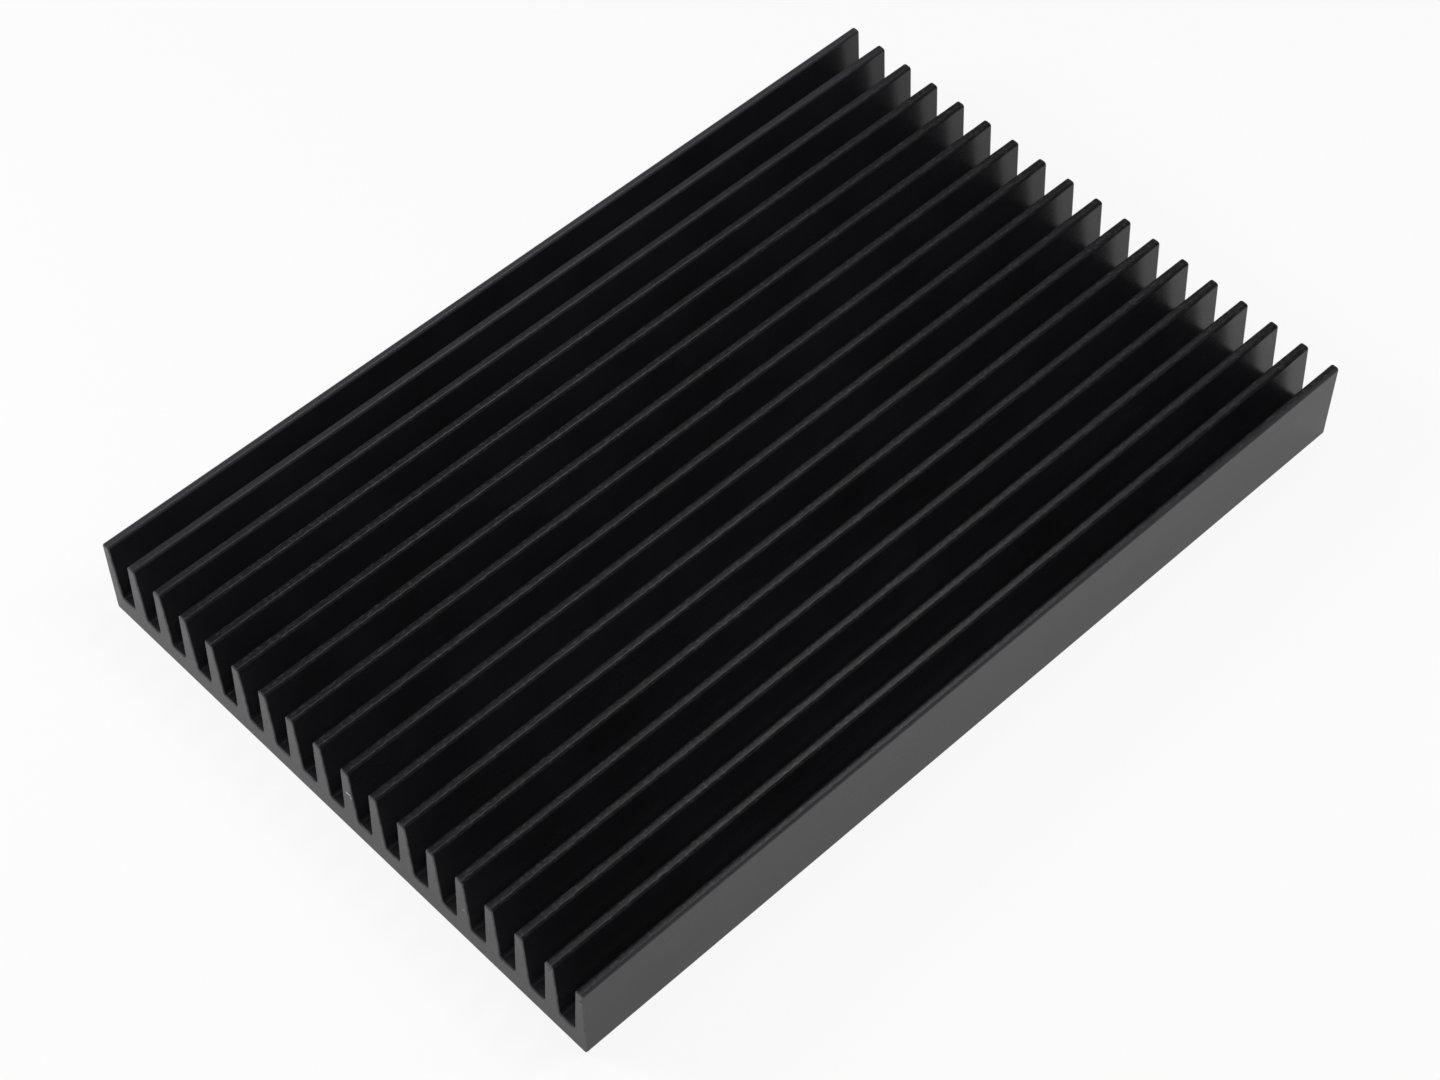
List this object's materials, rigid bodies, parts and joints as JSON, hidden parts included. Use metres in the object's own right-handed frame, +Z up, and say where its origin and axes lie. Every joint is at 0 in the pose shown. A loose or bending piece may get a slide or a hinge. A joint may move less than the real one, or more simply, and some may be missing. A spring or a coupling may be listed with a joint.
{
  "type": "heat sink",
  "caption": "Black anodised heat sink extruded from aluminium: a flat base plate with a row of straight, slightly tapered cooling fins along its length, cut square at both ends.",
  "frame": {"origin": "centre of the flat underside of the base plate", "axes": "+X across the fins, +Y along the fins, +Z up from the underside to the fin tips"},
  "size_m": [0.1, 0.15, 0.015],
  "materials": {
    "black_anodised": "matte black anodised"
  },
  "bodies": {
    "root": {"heat_sink": "black_anodised"}
  },
  "joints": []
}
